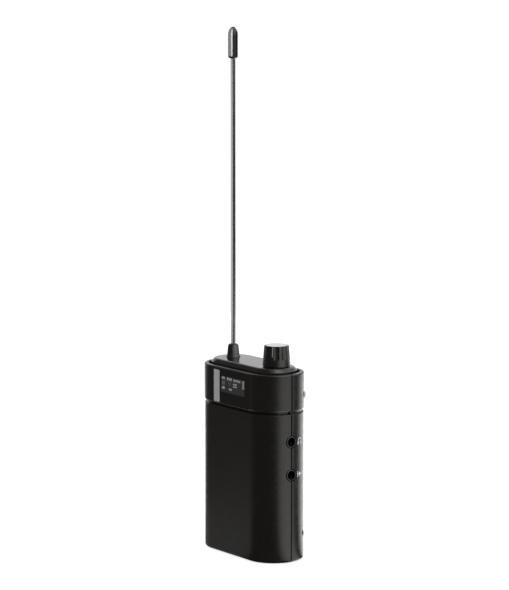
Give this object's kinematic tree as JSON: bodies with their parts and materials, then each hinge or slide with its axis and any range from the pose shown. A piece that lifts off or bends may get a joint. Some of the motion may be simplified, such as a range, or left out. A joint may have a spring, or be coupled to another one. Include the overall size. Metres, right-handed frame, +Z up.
{
  "type": "wireless bodypack receiver",
  "caption": "Belt-worn radio receiver pack with round ends, a whip antenna, a fluted volume knob, side sockets, a swing-down battery cover and a sprung belt clip.",
  "frame": {"origin": "centre of the case's flat base, on the joint plane of the front and rear shells", "axes": "+Z up along the antenna, -Y towards the display, +X towards the sockets"},
  "size_m": [0.0584, 0.0332, 0.2411],
  "materials": {
    "case_black": "fine moulded satin",
    "cap_black": "smooth satin",
    "panel_gloss": "polished, smoked",
    "knob_black": "satin",
    "inlay_silver": "spun",
    "inlay_white": "filled line",
    "antenna_rubber": "smooth",
    "antenna_plating": "dark plating",
    "socket_black": "moulded",
    "steel": "plated",
    "dark_steel": "black coating",
    "brass": "turned",
    "board_green": "solder mask",
    "tray_grey": "moulded",
    "key_grey": "moulded",
    "cell_wrap": "plain wrap",
    "screen_glass": "display glass",
    "pot_metal": "folded sheet"
  },
  "bodies": {
    "case": {"rear_shell": "case_black", "head_front": "case_black", "top_cap": "cap_black", "display_panel": "panel_gloss", "oled_module": "screen_glass", "display_board": "board_green", "main_board": "board_green", "rf_shield": "steel", "tact_switches": "socket_black", "headphone_jack": "socket_black", "line_jack": "socket_black", "battery_tray": "tray_grey", "cell_left": "cell_wrap", "cell_right": "cell_wrap", "contact_bridge": "steel", "terminal_contacts": "steel", "battery_springs": "steel", "antenna_boot": "antenna_rubber", "antenna_rod": "antenna_plating", "antenna_tip": "antenna_rubber", "antenna_base": "brass", "pot_body": "pot_metal", "pot_nut": "steel", "clip_bracket": "steel", "clip_pin": "steel", "clip_spring": "steel", "clip_screws": "steel", "case_screws": "dark_steel"},
    "cover": {"battery_cover": "case_black", "cover_pins": "steel"},
    "knob": {"pot_shaft": "pot_metal", "volume_knob": "knob_black", "knob_disc": "inlay_silver", "knob_pointer": "inlay_white"},
    "key_set": {"set_key": "key_grey"},
    "key_up": {"up_key": "key_grey"},
    "key_down": {"down_key": "key_grey"},
    "clip": {"belt_clip": "dark_steel"}
  },
  "joints": [
    {"name": "cover_hinge", "type": "hinge", "parent": "case", "child": "cover", "pos_m": [0, -0.01, 0.0037], "axis": [1, 0, 0], "range_deg": [0, 90]},
    {"name": "knob_turn", "type": "hinge", "parent": "case", "child": "knob", "pos_m": [0.0175, 0, 0.08885], "axis": [0, 0, 1], "range_deg": [-185, 115]},
    {"name": "set_press", "type": "slide", "parent": "case", "child": "key_set", "axis": [0, 1, 0], "range_m": [0, 0.0005], "stiffness_N_per_m": 800, "springref_m": -0.001},
    {"name": "up_press", "type": "slide", "parent": "case", "child": "key_up", "axis": [0, 1, 0], "range_m": [0, 0.0005], "stiffness_N_per_m": 800, "springref_m": -0.001},
    {"name": "down_press", "type": "slide", "parent": "case", "child": "key_down", "axis": [0, 1, 0], "range_m": [0, 0.0005], "stiffness_N_per_m": 800, "springref_m": -0.001},
    {"name": "clip_hinge", "type": "hinge", "parent": "case", "child": "clip", "pos_m": [0, 0.0162, 0.0738], "axis": [1, 0, 0], "range_deg": [0, 15], "stiffness_Nm_per_rad": 0.15, "springref_deg": -17.19}
  ]
}
